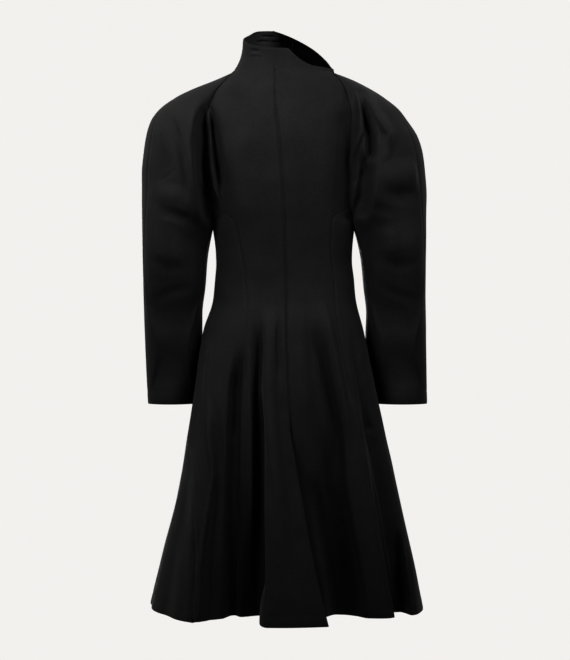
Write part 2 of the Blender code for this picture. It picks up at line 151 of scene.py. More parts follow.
# smooth curve through a table, with no overshoot between its rows
def smoothThrough(knots, values, at):
    knots, values = np.asarray(knots, float), np.asarray(values, float)
    if knots[0] > knots[-1]:
        knots, values = knots[::-1], values[::-1]
    spans = np.diff(knots)
    slopes = np.diff(values) / spans
    product = slopes[:-1] * slopes[1:]
    total = np.where(product > 0, slopes[:-1] + slopes[1:], 1)
    inner = np.where(product > 0, 2 * product / total, 0)
    tangents = np.concatenate(([slopes[0]], inner, [slopes[-1]]))
    at = np.clip(at, knots[0], knots[-1])
    i = np.clip(np.searchsorted(knots, at, side="right") - 1, 0, len(spans) - 1)
    s = (at - knots[i]) / spans[i]
    start = values[i] * (1 + 2 * s) * (1 - s) ** 2 + tangents[i] * spans[i] * s * (1 - s) ** 2
    end = values[i + 1] * s * s * (3 - 2 * s) - tangents[i + 1] * spans[i] * s * s * (1 - s)
    return start + end


def foldDepth(half, angle, z):
    depth, lastAngle, lastOut = 0, None, None
    for topAngle, hemAngle, out, startZ in skirtFolds[half]:
        share = np.clip((startZ - z) / (startZ - heights["hem"]), 0, 1)
        foldAngle = topAngle + (hemAngle - topAngle) * share
        foldOut = out * share ** foldGrowth
        if lastAngle is None:
            depth = foldOut
        else:
            between = lastOut + (foldOut - lastOut) * ease((angle - lastAngle) / (foldAngle - lastAngle))
            depth = np.where(angle > lastAngle, between, depth)
        lastAngle, lastOut = foldAngle, foldOut
    return depth


# outer face of the body; the left front and its collar run under the right ones
def bodySurface(half, angle, z):
    turn = np.radians(angle)
    middle, halfWidth, back, front = (smoothThrough(bodyRings[0], ring, z) for ring in bodyRings[1:])
    across = halfWidth * np.sin(turn)
    along = -np.where(np.cos(turn) > 0, back, front) * np.cos(turn)
    reach = np.hypot(across, along)
    underLap = ease((-angle - frontLap["startAngle"]) / frontLap["easing"])
    lapped = -(cloth["thickness"] + cloth["layerGap"]) * underLap
    stretch = (reach + foldDepth(half, angle, z) + lapped) / reach
    return np.stack((middle + across * stretch, along * stretch, z + 0 * angle), axis=-1)


def armholeAngle(z):
    top, bottom = heights["princessTop"], heights["underarm"]
    upper = smoothThrough(sleeveHead[0], sleeveHead[1], z)
    princess = float(smoothThrough(sleeveHead[0], sleeveHead[1], top))
    lower = princess + (90 - princess) * np.arcsin(np.clip((top - z) / (top - bottom), 0, 1)) / (np.pi / 2)
    return np.where(z >= top, upper, lower)


def centreBackAngle(half, z):
    above = smoothThrough(backSeams[0], backSeams[1], z)
    opened = np.clip((heights["ventOpen"] - z) / (heights["ventOpen"] - heights["hem"]), 0, None)
    return above + (ventHemAngle[half] - above) * opened


def princessAngle(half, z):
    return smoothThrough(backSeams[0], backSeams[2 if half == "left" else 3], z)


def backEdge(half, z):
    side = -1 if half == "left" else 1
    return np.where(z > heights["princessTop"], side * armholeAngle(z), princessAngle(half, z))


def frontSideEdge(half, z):
    side = -1 if half == "left" else 1
    return np.where(z > heights["underarm"], side * (180 - armholeAngle(z)), side * 90.0)


# a body panel between two seams, each an angle at a height, and under a curved top edge if it has one
def bodyPanel(half, firstEdge, secondEdge, levels, topEdge=None):
    def evenly(across, z):
        return firstEdge(z) + (secondEdge(z) - firstEdge(z)) * across

    def place(across, up):
        z = np.interp(up, np.linspace(0, 1, len(levels)), levels)
        drawnAside = 0
        if topEdge:
            topAngle, topZ = topEdge(across)
            rise = np.clip((z - heights["bodice"]) / (levels[-1] - heights["bodice"]), 0, None)
            z = np.where(rise > 0, heights["bodice"] + rise * (topZ - heights["bodice"]), z)
            drawnAside = rise * (topAngle - evenly(across, topZ))
        lap = (2 * across - 1) * cloth["seamLap"]
        return bodySurface(half, evenly(across, z) + drawnAside + lap, z)
    return place


headRows, sleeveRowCount = len(sleeveHead[0]), len(sleeveHead[0]) + len(sleeveArm[0])
underarmRow = headRows - 1


# rows of a sleeve run from the neck (0) to the cuff, share from the seam behind (-1) to the one before (1)
def sleeveSurface(half, row, share):
    side, headX, over, under = (-1, 2, 1, 2) if half == "left" else (1, 3, 3, 4)
    rows = np.arange(sleeveRowCount)

    def along(head, arm):
        values = np.append(head, arm)
        return smoothThrough(rows[-len(values):], values, row)

    behind = share < 0
    forward = along(np.zeros(headRows), sleeveArm[5])
    top = np.stack((along(sleeveHead[headX], sleeveArm[over]), forward,
                    along(sleeveHead[4], sleeveArm[0])), axis=-1)
    puff = np.where(behind, along(sleeveHead[5], sleeveArm[6]), along(sleeveHead[6], sleeveArm[6]))
    seamZ = smoothThrough(rows[:headRows], sleeveHead[0], np.minimum(row, underarmRow))
    angle = armholeAngle(seamZ)
    onBody = bodySurface(half, side * np.where(behind, angle, 180 - angle), seamZ)
    underarm = bodySurface(half, np.array(side * 90.0), np.array(heights["underarm"]))
    hanging = np.stack((along(underarm[0], sleeveArm[under]), forward,
                        along(underarm[2], sleeveArm[0])), axis=-1)
    seam = np.where((row <= underarmRow)[..., None], onBody, hanging)
    point = top + (seam - top) * ease(np.abs(share))[..., None]
    point[..., 1] += np.where(behind, -1, 1) * puff * np.sin(np.pi * np.abs(share))
    return point


# where the sleeve hangs slack, in rows of its table, and how often it is evened out there
sleeveSlack = {"firstRow": 8, "growsOver": 3, "rowsPastUnderarm": 3.5, "fadesOver": 2, "seamHold": 6,
               "passes": 90, "overarmLap": 0.001}


def sleeveHalf(half, facing, rowList):
    def place(across, up):
        row = np.interp(up, np.linspace(0, 1, len(rowList)), rowList[::-1])  # cuff first, neck last
        overarm = -smoothThrough(np.arange(sleeveRowCount), np.append(sleeveHead[7], sleeveArm[7]), row)
        first = overarm - facing * sleeveSlack["overarmLap"]
        turned = (facing > 0) == (half == "right")  # keeps the faces outwards
        share = first + (facing - first) * (across if turned else 1 - across)
        sheet = sleeveSurface(half, row, share)
        # below the armhole the cloth hangs in an even curve, but for its seam to the body
        slack = ease((row - sleeveSlack["firstRow"]) / sleeveSlack["growsOver"])
        slack *= ease((underarmRow + sleeveSlack["rowsPastUnderarm"] - row) / sleeveSlack["fadesOver"])
        slack *= 1 - np.abs(share) ** sleeveSlack["seamHold"]
        for i in range(sleeveSlack["passes"]):
            between = (sheet[:-2] + sheet[2:]) / 2 - sheet[1:-1]
            sheet[1:-1] += 0.5 * slack[1:-1, :, None] * between
        return sheet
    return place


# the collar laps the neck seam a little, stands just off the body and curves as it leans
collarStand = {"neckLap": 0.0012, "standsOff": 0.0005, "curve": 2.5}


def collarSurface(half, angle, share):
    foot = bodySurface(half, angle, np.full_like(angle, heights["neck"]))
    foot[..., 2] = heights["neck"] - collarStand["neckLap"]
    topZ, lean = (smoothThrough(collarEdge[0], edge, angle) for edge in collarEdge[1:])
    outward = foot - np.array((bodyRings[1][0], 0, 0))
    outward[..., 2] = 0
    outward /= np.linalg.norm(outward, axis=-1)[..., None]
    leanHere = lean * (1 - (1 - share) ** collarStand["curve"])
    point = foot + outward * (collarStand["standsOff"] + leanHere)[..., None]
    point[..., 2] += (topZ - foot[..., 2]) * share
    return point


def collarHalf(half, firstAngle, lastAngle):
    def place(across, up):
        lap = (2 * across - 1) * cloth["seamLap"]
        return collarSurface(half, firstAngle + (lastAngle - firstAngle) * across + lap, up)
    return place


print("shapes ready")


# where a point of the coat is seen in the photograph, in pixels
def photoPlace(points):
    scale = pixelsPerTangent / (points[..., 1] + photoView["distance"])
    return np.stack((photoView["width"] / 2 + scale * (points[..., 0] - photoView["eyeX"]),
                     photoView["height"] / 2 - scale * (points[..., 2] - photoView["eyeZ"])), axis=-1)


# how strongly a crease is felt at each point: 1 on its line, fading to the sides and the ends
def creaseShare(seen, path, width, fade):
    left, right = width if isinstance(width, tuple) else (width, width)
    path = np.array(path, float)
    steps = np.linalg.norm(np.diff(path, axis=0), axis=1)
    nearest = np.full(seen.shape[:-1], 1e9)
    along = np.zeros(seen.shape[:-1])
    toRight = np.zeros(seen.shape[:-1])
    walked = 0.0
    for start, stop, step in zip(path, path[1:], steps):
        way = (stop - start) / step
        offset = seen - start
        t = np.clip(offset @ way, 0, step)
        away = offset - t[..., None] * way
        distance = np.linalg.norm(away, axis=-1)
        closer = distance < nearest
        nearest = np.where(closer, distance, nearest)
        along = np.where(closer, walked + t, along)
        toRight = np.where(closer, away[..., 0], toRight)
        walked += step
    reach = np.where(toRight > 0, right, left)
    across = np.clip(1 - (nearest / reach) ** 2, 0, 1) ** 2
    ends = ease(along / (fade * walked)) * ease((walked - along) / (fade * walked))
    return across * ends


# slow unevenness of hand-pressed cloth, a few tenths of a millimetre over a hand's width
unevenCloth = {"seed": 7, "waves": 14, "shortest": 0.05, "longest": 0.13}
wander = np.random.RandomState(unevenCloth["seed"])
waves = []
for i in range(unevenCloth["waves"]):
    heading = wander.uniform(-1, 1, 3)
    waveLength = wander.uniform(unevenCloth["shortest"], unevenCloth["longest"])
    waves.append((heading * 2 * np.pi / waveLength, wander.uniform(0, 6.28)))


def unevenness(points):
    return sum(np.sin(points @ direction + phase) for direction, phase in waves) / len(waves)


# how far forward a fold behind may sink: heights from the hem up, and the place it stops at
deepestFold = np.array([
    (-1.000, -0.0895), (-0.660, -0.0895), (-0.600, 0.0145), (-0.465, -0.0235),
    (-0.275, -0.0235), (-0.230, -0.0385), (-0.090, -0.0385), (0.120, 0.0000),
]).T

# how seams, turned edges and creases run out: metres, and the share of a crease's length at each end
fading = {"seamTop": 0.02, "turnWidth": 0.003, "calmWidth": 0.022, "lowestFade": 0.035, "creaseEnds": 0.3}
belowHem = -2
leastRoom = 1e-6
seamFineness = 0.45

pieces = {}


# a panel of cloth: a fine grid laid on its form, creased, then given the cloth's thickness
def clothPiece(name, look, place):
    columns, rows = look["grid"]
    bm = bmesh.new()
    bmesh.ops.create_grid(bm, x_segments=columns, y_segments=rows, size=0.5)
    for edge in bm.edges:
        edge.smooth = not edge.is_boundary  # cut edges stay crisp
    mesh = bpy.data.meshes.new(name)
    bm.to_mesh(mesh)
    bm.free()
    spot = np.empty(len(mesh.vertices) * 3)
    mesh.vertices.foreach_get("co", spot)
    column = np.rint((spot[0::3] + 0.5) * columns).astype(int)
    row = np.rint((spot[1::3] + 0.5) * rows).astype(int)

    across, up = np.meshgrid(np.linspace(0, 1, columns + 1), np.linspace(0, 1, rows + 1))
    across = (1 - seamFineness) * across + seamFineness * ease(across)  # finer beside the seams
    sheet = place(across, up)
    outward = np.cross(np.gradient(sheet, axis=1), np.gradient(sheet, axis=0))
    outward /= np.linalg.norm(outward, axis=-1)[..., None]
    stepsAcross = np.linalg.norm(np.diff(sheet, axis=1), axis=-1)
    stepsUp = np.linalg.norm(np.diff(sheet, axis=0), axis=-1)
    fromLeft = np.pad(np.cumsum(stepsAcross, axis=1), ((0, 0), (1, 0)))
    fromBottom = np.pad(np.cumsum(stepsUp, axis=0), ((1, 0), (0, 0)))
    edges = {"left": fromLeft, "right": fromLeft[:, -1:] - fromLeft,
             "bottom": fromBottom, "top": fromBottom[-1:] - fromBottom}

    seen = photoPlace(sheet)
    fromAxis = (sheet - np.array(look["axis"])) * np.array((1, 1, 0))
    fromAxis /= np.linalg.norm(fromAxis, axis=-1)[..., None]
    rise = look["uneven"] * unevenness(sheet)
    for edge, dip, width, highest in look["seams"]:
        below = ease((highest - sheet[..., 2]) / fading["seamTop"])
        rise = rise - dip * np.exp(-(edges[edge] / width) ** 2) * below
    for edge, distance, dip in look["turnedEdges"]:
        rise = rise - dip * np.exp(-((edges[edge] - distance) / fading["turnWidth"]) ** 2)
    push = fromAxis * rise[..., None]
    for crease in look["creases"]:
        fade = crease.get("fade", fading["creaseEnds"])
        share = creaseShare(seen, crease["path"], crease["width"], fade)
        # a fold dies out before a seam, unless the piece across the seam has it too
        for edge in look["calmEdges"] if crease.get("shared") else ("left", "right"):
            share = share * ease(edges[edge] / fading["calmWidth"])
        share = share * ease((sheet[..., 2] - crease.get("lowest", belowHem)) / fading["lowestFade"])
        direction = np.array((0, -1, 0)) if crease.get("straight") else outward
        push = push + direction * (share * crease["out"] / 1000)[..., None]
    if look["behind"]:
        # folds sink only as far as the space kept for the body and the arms
        room = np.maximum(smoothThrough(*deepestFold, sheet[..., 2]) - sheet[..., 1], leastRoom)
        inward = push[..., 1]
        push[..., 1] = np.where(inward > 0, room * np.tanh(inward / room), inward)
    sheet = sheet + push

    mesh.vertices.foreach_set("co", sheet[row, column].ravel())
    grainAcross = fromLeft - fromLeft[:, columns // 2, None]
    grainUp = np.mean(fromBottom, axis=1)[:, None] + 0 * fromLeft
    grain = np.stack((grainAcross, grainUp), axis=-1)
    corner = np.empty(len(mesh.loops), dtype=int)
    mesh.loops.foreach_get("vertex_index", corner)
    grainMap = mesh.uv_layers.new(name="grain")
    grainMap.data.foreach_set("uv", grain[row, column][corner].ravel())
    mesh.update()
    mesh.shade_smooth()
    piece = bpy.data.objects.new(name, mesh)
    bpy.context.scene.collection.objects.link(piece)
    wall = piece.modifiers.new("cloth thickness", "SOLIDIFY")
    wall.thickness = cloth["thickness"]
    wall.offset = -1
    wall.material_offset = 1  # lining inside (in the collars a wool facing going over into painted shade), wool outside and on the edges
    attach(piece, "root")
    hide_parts(look["node"])
    pieces[name] = piece
    stepAcross, stepUp = np.diff(sheet, axis=1), np.diff(sheet, axis=0)
    area = np.sum(np.linalg.norm(np.cross(stepAcross[:-1], stepUp[:, :-1]), axis=-1))
    widest = np.linalg.norm(stepAcross, axis=-1).sum(axis=1).max()
    longest = np.linalg.norm(stepUp, axis=-1).sum(axis=0).max()
    print(name, "area %.4f widest %.3f longest %.3f" % (area, widest, longest))


skirtLevels = np.linspace(heights["hem"], heights["bodice"], 170)
backLevels = np.concatenate((skirtLevels, np.linspace(heights["bodice"], heights["neck"], 81)[1:]))
sideLevels = np.concatenate((skirtLevels, np.linspace(heights["bodice"], heights["underarm"], 9)[1:]))
scoopDepth = heights["princessTop"] - heights["underarm"]
scoopLevels = heights["princessTop"] - scoopDepth * np.cos(np.linspace(0, np.pi / 2, 13))
frontLevels = np.concatenate((np.linspace(heights["hem"], heights["underarm"], 176), scoopLevels[1:],
                              np.linspace(heights["princessTop"], heights["neck"], 63)[1:]))
middleHeight = np.concatenate(((sleeveHead[0] + sleeveHead[4]) / 2, sleeveArm[0]))
sleeveRows = np.interp(np.linspace(middleHeight[0], middleHeight[-1], 183), middleHeight[::-1],
                       np.arange(sleeveRowCount)[::-1])


# lower curve of the armhole, from the princess seam (0) to the side seam (1)
def scoop(side, share):
    z = heights["princessTop"] - scoopDepth * np.sin(np.pi / 2 * share)
    return side * armholeAngle(z), z


# folds that pull into the armholes, shared by the back and the sleeve so that the seam stays closed
leftArmhole = [
    {"path": [(209, 112), (206, 130), (206, 160), (209, 190), (214, 222), (217, 245)],
     "width": (9, 28), "out": -12, "fade": 0.25, "straight": True},
    {"path": [(208, 102), (205, 125), (204, 145), (205, 165), (207, 185), (210, 205), (215, 232)],
     "width": (13, 13), "out": -40, "fade": 0.2, "straight": True},
    {"path": [(206, 92), (198, 108), (192, 124), (189.5, 142), (191, 160), (193, 185), (194, 210)],
     "width": (10, 5), "out": 8, "fade": 0.25, "straight": True},
    {"path": [(206.5, 104), (208.5, 124), (210, 145), (212, 166), (215, 184), (221, 200)],
     "width": (4.4, 4), "out": 34, "fade": 0.2, "straight": True},
    {"path": [(213, 108), (215, 130), (217, 150), (219, 170), (223, 194)],
     "width": (4, 8), "out": -22, "fade": 0.3, "straight": True},
    {"path": [(200, 138), (201, 165), (203, 190), (208, 215), (214, 238)],
     "width": (9, 8), "out": -22, "fade": 0.3, "straight": True},
    {"path": [(200, 146), (199, 167), (202, 183), (208, 197), (213, 212), (216, 228)],
     "width": 3.6, "out": 12, "fade": 0.25, "straight": True},
]
rightArmhole = [
    {"path": [(350, 96), (353, 112), (353, 130), (352, 160), (352, 190), (353, 222), (352, 245)],
     "width": (30, 9), "out": -12, "fade": 0.25, "straight": True},
    {"path": [(352, 82), (355, 105), (356, 130), (354, 155), (353, 180), (354, 205), (356, 232)],
     "width": (12, 17), "out": -27, "fade": 0.14, "straight": True},
    {"path": [(362, 98), (367, 116), (371, 136), (371, 168)],
     "width": (7, 9), "out": -38, "fade": 0.3, "straight": True},
    {"path": [(364, 148), (366, 168), (364, 188), (360, 222)],
     "width": (9, 12), "out": -44, "fade": 0.35, "straight": True},
    {"path": [(349, 104), (350, 130), (348, 160), (347, 190), (349, 225), (348, 250)],
     "width": (14, 8), "out": -16, "fade": 0.25, "straight": True},
    {"path": [(356, 86), (359, 101), (362, 115), (360.5, 133), (355.5, 147), (350.5, 161), (347.5, 177)],
     "width": (3.5, 4.5), "out": 17, "fade": 0.2, "straight": True},
    {"path": [(355.5, 177), (354.5, 194), (352, 213)],
     "width": 3.4, "out": 11, "fade": 0.3, "straight": True},
    {"path": [(361, 84), (367, 98.5), (373.5, 112.4), (380.5, 122), (388, 134), (389, 152)],
     "width": (3.8, 10), "out": 14, "fade": 0.35, "straight": True},
]

for crease in leftArmhole + rightArmhole:
    crease.update(shared=True, lowest=heights["underarm"])  # the fronts below have no such folds

# pressed edge along the right princess seam, on both sides of it
crispEdge = {"path": [(349, 382), (359, 416), (368, 456), (376, 498), (381, 531), (387, 558), (392, 590),
                      (394, 616)],
             "width": (9, 3), "out": 8, "fade": 0.14, "straight": True, "shared": True}

# hollow beside the left princess seam, likewise on both sides
princessHollow = {"path": [(243, 340), (236, 389), (234, 444), (232, 489), (231, 530), (232, 670)],
                  "width": (9, 10), "out": -24, "fade": 0.16, "straight": True, "shared": True}

backLeftLook = {
    "node": "back_left", "behind": True, "grid": (100, 249),
    "flat": (0.31, 1.065), "area": 0.171,
    "uneven": 0.0007, "axis": (0, 0, 0),
    "seams": [("left", 0.0013, 0.003, -0.24), ("right", 0.0026, 0.0026, 1), ("bottom", 0.0006, 0.003, 1)],
    "turnedEdges": [("bottom", 0.021, 0.0005)],
    "calmEdges": (),
    "creases": leftArmhole + [
        {"path": [(280, 316), (279, 345), (280, 384)], "width": 5, "out": -6},
        {"path": [(258, 304), (258, 349), (256, 389), (259, 425), (259, 507), (260, 612)],
         "width": (9, 6), "out": -13, "fade": 0.16},
        {"path": [(281, 285), (270, 326), (269, 389), (272, 440), (280, 507), (287, 565)],
         "width": (8, 10), "out": 7},
        {"path": [(253, 322), (254, 360), (253, 400), (253, 450), (252, 560)], "width": (9, 4), "out": 11},
        princessHollow,
        {"path": [(275, 407), (280, 411), (287, 416)], "width": 1.6, "out": -1.0, "shared": True},
        {"path": [(272, 78), (273, 110), (279, 180), (281, 230), (283, 290), (285, 350), (287, 398)],
         "width": 2.8, "out": 1.7, "fade": 0.1, "shared": True},
    ],
}
clothPiece("back_panel_left", backLeftLook,
           bodyPanel("left", lambda z: backEdge("left", z), lambda z: centreBackAngle("left", z), backLevels))

backRightLook = {
    "node": "back_right", "behind": True, "grid": (90, 249),
    "flat": (0.215, 1.045), "area": 0.148,
    "uneven": 0.0007, "axis": (0, 0, 0),
    "seams": [("right", 0.0013, 0.003, -0.24), ("left", 0.0026, 0.0022, 1), ("bottom", 0.0006, 0.003, 1)],
    "turnedEdges": [("bottom", 0.021, 0.0005)],
    "calmEdges": (),
    "creases": rightArmhole + [
        {"path": [(321, 294), (329, 323), (334, 349), (340, 381), (347, 417), (353, 455)],
         "width": (7, 5), "out": 7},
        {"path": [(315, 316), (322, 350), (327, 381), (333, 410), (338, 440), (343, 500)],
         "width": (9, 7), "out": -18},
        {"path": [(300, 300), (303, 350), (306, 390), (310, 430)], "width": 8, "out": 3},
        {"path": [(324, 420), (332, 480), (340, 530), (351, 590), (358, 670)],
         "width": (14, 15), "out": -45, "fade": 0.4, "straight": True},
        {"path": [(312, 462), (323, 520), (336, 590), (345, 680)],
         "width": (13, 16), "out": -40, "fade": 0.4, "straight": True},
        crispEdge,
    ],
}
clothPiece("back_panel_right", backRightLook,
           bodyPanel("right", lambda z: centreBackAngle("right", z), lambda z: backEdge("right", z),
                     backLevels))

sideLeftLook = {
    "node": "side_back_left", "behind": True, "grid": (120, 177),
    "flat": (0.34, 0.795), "area": 0.142,
    "uneven": 0.0008, "axis": (0, 0, 0),
    "seams": [("left", 0.0013, 0.003, -0.28), ("right", 0.0013, 0.003, -0.24), ("bottom", 0.0006, 0.003, 1)],
    "turnedEdges": [("bottom", 0.021, 0.0005)],
    "calmEdges": ("left",),
    "creases": leftArmhole + [
        {"path": [(176, 440), (184, 480), (186, 530), (182, 600), (178, 660)],
         "width": 7, "out": -2, "fade": 0.25},
        {"path": [(186, 432), (193, 453), (196, 469), (198, 486), (198, 511), (197, 550)],
         "width": (2.6, 3.2), "out": 6},
        {"path": [(194, 520), (193, 560), (192, 600), (191, 670)], "width": (5, 5), "out": -7, "fade": 0.3},
        {"path": [(207, 396), (210, 424), (212, 453), (213, 476), (209, 500), (205, 524), (202, 544),
                  (199, 571), (197, 660)],
         "width": (3, 3.6), "out": 8, "fade": 0.16},
        princessHollow,
        {"path": [(213, 388), (219, 440), (221, 476), (218, 510), (214, 550), (209, 660)],
         "width": (5, 8), "out": -8, "fade": 0.2},
        {"path": [(211, 334), (208, 373), (206, 396), (209, 420)], "width": 5, "out": 4},
    ],
}
clothPiece("side_panel_left", sideLeftLook,
           bodyPanel("left", lambda z: 0 * z - 90.0, lambda z: princessAngle("left", z), sideLevels,
                     lambda share: scoop(-1, 1 - share)))

sideRightLook = {
    "node": "side_back_right", "behind": True, "grid": (80, 177),
    "flat": (0.25, 0.78), "area": 0.100,
    "uneven": 0.0008, "axis": (0, 0, 0),
    "seams": [("right", 0.0013, 0.003, -0.28), ("left", 0.0013, 0.003, -0.24), ("bottom", 0.0006, 0.003, 1)],
    "turnedEdges": [("bottom", 0.021, 0.0005)],
    "calmEdges": ("right",),
    "creases": rightArmhole + [
        crispEdge,
        {"path": [(363, 404), (375, 456), (383, 498), (389, 531), (396, 575), (399, 616)],
         "width": (6, 8), "out": -11, "fade": 0.18},
        {"path": [(403, 500), (404, 549), (406, 571), (409, 586), (412, 660)],
         "width": (6, 3), "out": 6, "fade": 0.35, "straight": True},
        {"path": [(405, 500), (409, 560), (413, 610), (417, 680)],
         "width": (13, 12), "out": 40, "fade": 0.35, "straight": True},
        {"path": [(352, 326), (357, 365), (364, 404), (372, 446)], "width": 6, "out": -5},
    ],
}
clothPiece("side_panel_right", sideRightLook,
           bodyPanel("right", lambda z: princessAngle("right", z), lambda z: 0 * z + 90.0, sideLevels,
                     lambda share: scoop(1, share)))

frontLeftLook = {
    "node": "front_left", "behind": False, "grid": (84, 249),
    "flat": (0.49, 1.06), "area": 0.270,
    "uneven": 0.0009, "axis": (0, 0, 0),
    "seams": [("right", 0.0013, 0.003, -0.28), ("bottom", 0.0006, 0.003, 1)],
    "turnedEdges": [("bottom", 0.021, 0.0005)],
    "calmEdges": (),
    "creases": [
        {"path": [(226, 236), (238, 252), (252, 262)], "width": 6, "out": -3},
        {"path": [(214, 262), (230, 272), (248, 276)], "width": 5, "out": -2.5},
        {"path": [(246, 300), (243, 345), (240, 410)], "width": 7, "out": -3.5},
        {"path": [(226, 306), (221, 350), (214, 420)], "width": 6, "out": -3},
    ],
}
clothPiece("front_panel_left", frontLeftLook,
           bodyPanel("left", lambda z: 0 * z - frontLap["edgeAngle"], lambda z: frontSideEdge("left", z),
                     frontLevels))

frontRightLook = {
    "node": "front_right", "behind": False, "grid": (84, 249),
    "flat": (0.49, 1.06), "area": 0.270,
    "uneven": 0.0009, "axis": (0, 0, 0),
    "seams": [("left", 0.0013, 0.003, -0.28), ("right", 0.0010, 0.003, 1), ("bottom", 0.0006, 0.003, 1)],
    "turnedEdges": [("bottom", 0.021, 0.0005), ("right", 0.03, 0.0004)],
    "calmEdges": (),
    "creases": [
        {"path": [(342, 236), (328, 250), (316, 258)], "width": 6, "out": -3},
        {"path": [(352, 266), (338, 274), (318, 280)], "width": 5, "out": -2.5},
        {"path": [(322, 300), (326, 345), (330, 410)], "width": 7, "out": -3.5},
        {"path": [(342, 310), (348, 350), (357, 420)], "width": 6, "out": -3},
    ],
}
clothPiece("front_panel_right", frontRightLook,
           bodyPanel("right", lambda z: frontSideEdge("right", z), lambda z: 0 * z + frontLap["edgeAngle"],
                     frontLevels))
print("body panels sewn")

sleeveLeftBackLook = {
    "node": "sleeve_left_back", "behind": True, "grid": (84, 182),
    "flat": (0.205, 0.71), "area": 0.106,
    "uneven": 0.0009, "axis": (-0.205, 0.01, 0),
    "seams": [("left", 0.0013, 0.003, 1), ("right", 0.0010, 0.003, -0.29), ("bottom", 0.0006, 0.003, 1)],
    "turnedEdges": [("bottom", 0.024, 0.0004)],
    "calmEdges": ("left",),
    "creases": leftArmhole + [
        {"path": [(168, 106), (178, 141), (181, 157), (185, 179), (189, 208)], "width": 6, "out": -6},
        {"path": [(160, 112), (164, 138), (167, 165)], "width": 8, "out": 3, "fade": 0.45},
        {"path": [(160, 182), (169, 175), (178, 168)], "width": 1.5, "out": -1.2, "fade": 0.2},
        {"path": [(146, 182), (163, 194), (178, 198), (192, 210)],
         "width": (14, 14), "out": 5, "fade": 0.45},
        {"path": [(154, 210), (172, 214), (186, 219), (198, 230)], "width": 8, "out": -6, "fade": 0.45},
        {"path": [(140, 228), (172, 232), (210, 226)],
         "width": 26, "out": -8, "straight": True, "fade": 0.5},
        {"path": [(192, 200), (197, 235), (196, 290)],
         "width": 22, "out": -14, "straight": True, "fade": 0.5},
        {"path": [(130, 306), (166, 312), (206, 306)],
         "width": 92, "out": -22, "straight": True, "fade": 0.5},
        {"path": [(132, 322), (166, 328), (204, 322)],
         "width": 38, "out": -12, "straight": True, "fade": 0.5},
        {"path": [(142, 254), (166, 268), (196, 268)], "width": 9, "out": -2.6, "fade": 0.5},
        {"path": [(146, 304), (170, 292), (200, 286)], "width": 8, "out": -3, "fade": 0.5},
        {"path": [(136, 404), (166, 407), (200, 404)],
         "width": 30, "out": 7, "straight": True, "fade": 0.5},
    ],
}
clothPiece("sleeve_back_left", sleeveLeftBackLook, sleeveHalf("left", -1, sleeveRows))

sleeveRightBackLook = {
    "node": "sleeve_right_back", "behind": True, "grid": (84, 182),
    "flat": (0.205, 0.71), "area": 0.106,
    "uneven": 0.0009, "axis": (0.205, 0.01, 0),
    "seams": [("right", 0.0013, 0.003, 1), ("left", 0.0010, 0.003, -0.29), ("bottom", 0.0006, 0.003, 1)],
    "turnedEdges": [("bottom", 0.024, 0.0004)],
    "calmEdges": ("right",),
    "creases": rightArmhole + [
        {"path": [(388, 130), (388.5, 145), (386, 164)], "width": (7, 6), "out": 4},
        {"path": [(370, 170), (396, 176), (430, 172)], "width": 20, "out": 8, "fade": 0.4},
        {"path": [(376, 188), (396, 196), (428, 196)], "width": 12, "out": -3, "fade": 0.5},
        {"path": [(362, 196), (376, 208), (400, 212)], "width": 8, "out": -2, "fade": 0.5},
        {"path": [(364, 216), (378, 226), (404, 228)], "width": 9, "out": -2, "fade": 0.5},
        {"path": [(360, 214), (394, 222), (434, 214)],
         "width": 30, "out": -9, "straight": True, "fade": 0.5},
        {"path": [(376, 190), (370, 230), (372, 285)],
         "width": 24, "out": -14, "straight": True, "fade": 0.5},
        {"path": [(360, 298), (396, 304), (436, 298)],
         "width": 100, "out": -24, "straight": True, "fade": 0.5},
        {"path": [(362, 322), (400, 328), (434, 322)],
         "width": 38, "out": -12, "straight": True, "fade": 0.5},
        {"path": [(372, 252), (398, 266), (426, 262)], "width": 9, "out": -2.6, "fade": 0.5},
        {"path": [(370, 282), (398, 294), (424, 306)], "width": 8, "out": -3, "fade": 0.5},
        {"path": [(368, 404), (400, 407), (434, 404)],
         "width": 30, "out": 7, "straight": True, "fade": 0.5},
    ],
}
clothPiece("sleeve_back_right", sleeveRightBackLook, sleeveHalf("right", -1, sleeveRows))

sleeveFrontCreases = {
    "left": [
        {"path": [(210, 110), (205, 140), (206, 170), (212, 205)],
         "width": 9, "out": 12, "fade": 0.25, "straight": True},
        {"path": [(148, 222), (170, 242), (200, 246)], "width": 9, "out": -5, "fade": 0.5},
        {"path": [(156, 272), (172, 266), (196, 250)], "width": 6, "out": -3.5, "fade": 0.5},
        {"path": [(142, 300), (160, 312), (180, 316)], "width": 8, "out": -2.5, "fade": 0.5},
        {"path": [(164, 120), (170, 150), (176, 185)], "width": 6, "out": -3},
    ],
    "right": [
        {"path": [(350, 110), (354, 140), (352, 170), (350, 205)],
         "width": 9, "out": 12, "fade": 0.25, "straight": True},
        {"path": [(424, 216), (402, 236), (372, 240)], "width": 9, "out": -5, "fade": 0.5},
        {"path": [(412, 280), (398, 268), (374, 254)], "width": 6, "out": -3.5, "fade": 0.5},
        {"path": [(428, 290), (410, 306), (388, 310)], "width": 8, "out": -2.5, "fade": 0.5},
        {"path": [(404, 122), (396, 150), (390, 185)], "width": 6, "out": -3},
    ],
}
